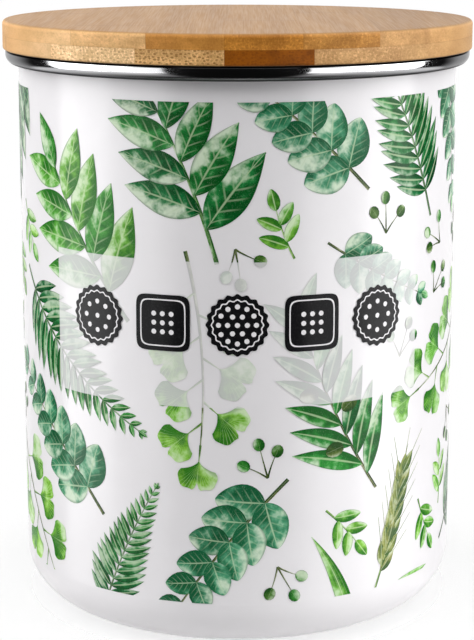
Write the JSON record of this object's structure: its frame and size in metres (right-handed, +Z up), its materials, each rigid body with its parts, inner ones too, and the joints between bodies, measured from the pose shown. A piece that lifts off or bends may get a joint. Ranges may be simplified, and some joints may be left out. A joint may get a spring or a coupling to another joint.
{
  "type": "biscuit tin",
  "caption": "Round enamelled canister with a rounded base and a crimped steel rim, closed by a lift-off laminated bamboo lid with a silicone seal.",
  "frame": {"origin": "middle of the base, on the surface that the can stands on", "axes": "+Z up along the can's axis; -Y is the front with the label panel; the lid's grain runs along Y"},
  "size_m": [0.14, 0.14, 0.1757],
  "materials": {
    "enamel": "gloss white enamel with a botanical print",
    "steel": "polished stainless steel",
    "silicone": "milky matt silicone",
    "bamboo_light": "sanded, oiled",
    "bamboo_mid": "sanded, oiled",
    "bamboo_dark": "steamed, sanded, oiled"
  },
  "bodies": {
    "can": {"can_body": "enamel", "steel_rim": "steel"},
    "seal": {"seal_ring": "silicone"},
    "lid": {"upper_strip_1": "bamboo_light", "upper_strip_2": "bamboo_light", "upper_strip_3": "bamboo_dark", "upper_strip_4": "bamboo_dark", "upper_strip_5": "bamboo_dark", "upper_strip_6": "bamboo_mid", "lower_strip_1": "bamboo_light", "lower_strip_2": "bamboo_light", "lower_strip_3": "bamboo_mid", "lower_strip_4": "bamboo_dark", "lower_strip_5": "bamboo_mid", "lower_strip_6": "bamboo_mid", "plug_strip_1": "bamboo_light", "plug_strip_2": "bamboo_mid", "plug_strip_3": "bamboo_light", "plug_strip_4": "bamboo_dark", "plug_strip_5": "bamboo_mid"}
  },
  "joints": [
    {"name": "lid_lift", "type": "slide", "parent": "can", "child": "seal", "axis": [0, 0, 1], "range_m": [0, 0.12]},
    {"name": "lid_turn", "type": "hinge", "parent": "seal", "child": "lid", "pos_m": [0, 0, 0.167], "axis": [0, 0, 1], "continuous": true}
  ]
}
